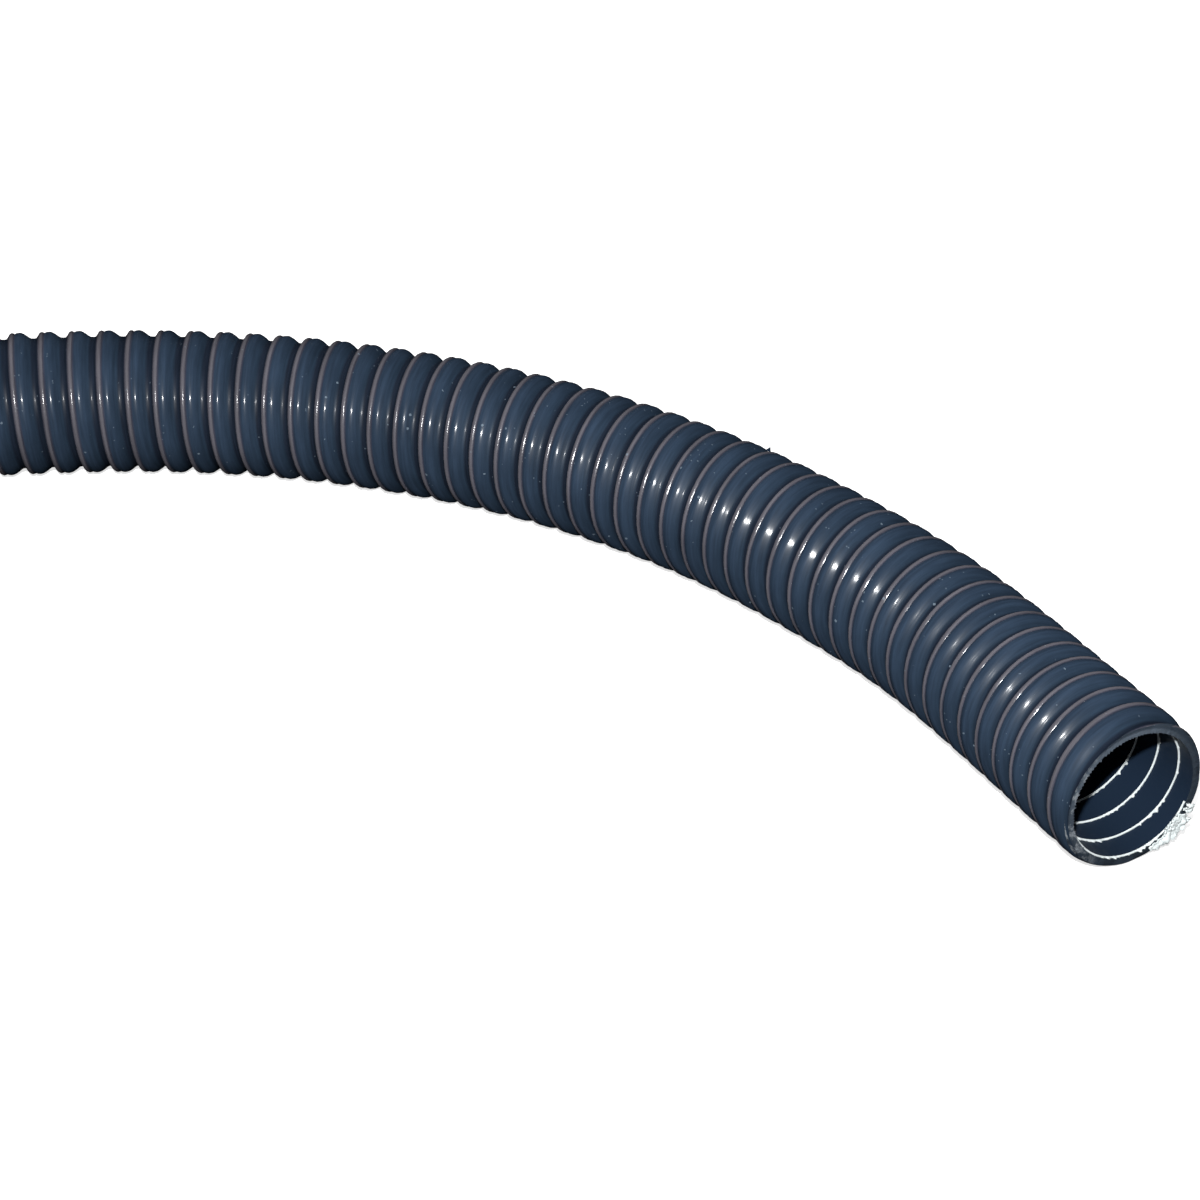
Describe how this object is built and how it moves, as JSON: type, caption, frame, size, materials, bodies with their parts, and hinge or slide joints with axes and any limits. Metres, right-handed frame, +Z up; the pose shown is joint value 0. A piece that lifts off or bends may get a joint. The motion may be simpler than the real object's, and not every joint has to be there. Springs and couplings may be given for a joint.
{
  "type": "sewer hose kit",
  "caption": "Spiral-ribbed PVC waste hose with a sawn open end, its spare length coiled and tied, and a swivel bayonet coupler with a dust cap on the stored end.",
  "frame": {"origin": "on the ground, under the middle of the object's bounding box", "axes": "+Z up, -Y out of the sawn open end, +X out of the coupler's mating face"},
  "size_m": [0.8708, 0.5579, 0.075],
  "materials": {
    "hose_pvc": "glossy flexible PVC",
    "rigid_spiral": "rigid PVC, torn where sawn",
    "coupler_black": "moulded, satin",
    "ring_grey": "moulded, satin",
    "seal_rubber": "matt",
    "clip_steel": "plain stainless",
    "tie_webbing": "hook-and-loop webbing"
  },
  "bodies": {
    "hose_assembly": {"hose_mouth": "hose_pvc", "hose_run": "hose_pvc", "hose_coil": "hose_pvc", "hose_lead": "hose_pvc", "hose_tail": "hose_pvc", "reinforcing_helix": "rigid_spiral", "coil_tie_1": "tie_webbing", "coil_tie_2": "tie_webbing", "hose_adapter": "coupler_black", "retaining_ring": "clip_steel", "face_gasket": "seal_rubber", "clip_band": "clip_steel", "clip_housing": "clip_steel"},
    "swivel_ring": {"swivel_ring": "ring_grey"},
    "dust_cap": {"dust_cap": "coupler_black", "cap_seal": "seal_rubber"},
    "clip_screw": {"clip_screw": "clip_steel"}
  },
  "joints": [
    {"name": "swivel_ring_turn", "type": "hinge", "parent": "hose_assembly", "child": "swivel_ring", "pos_m": [-0.138, -0.169, 0.0375], "axis": [1, 0, 0], "continuous": true},
    {"name": "dust_cap_pull", "type": "slide", "parent": "hose_assembly", "child": "dust_cap", "axis": [1, 0, 0], "range_m": [0, 0.04]},
    {"name": "clip_screw_turn", "type": "hinge", "parent": "hose_assembly", "child": "clip_screw", "pos_m": [-0.158, -0.169, 0.0659], "axis": [0, 1, 0], "continuous": true}
  ]
}
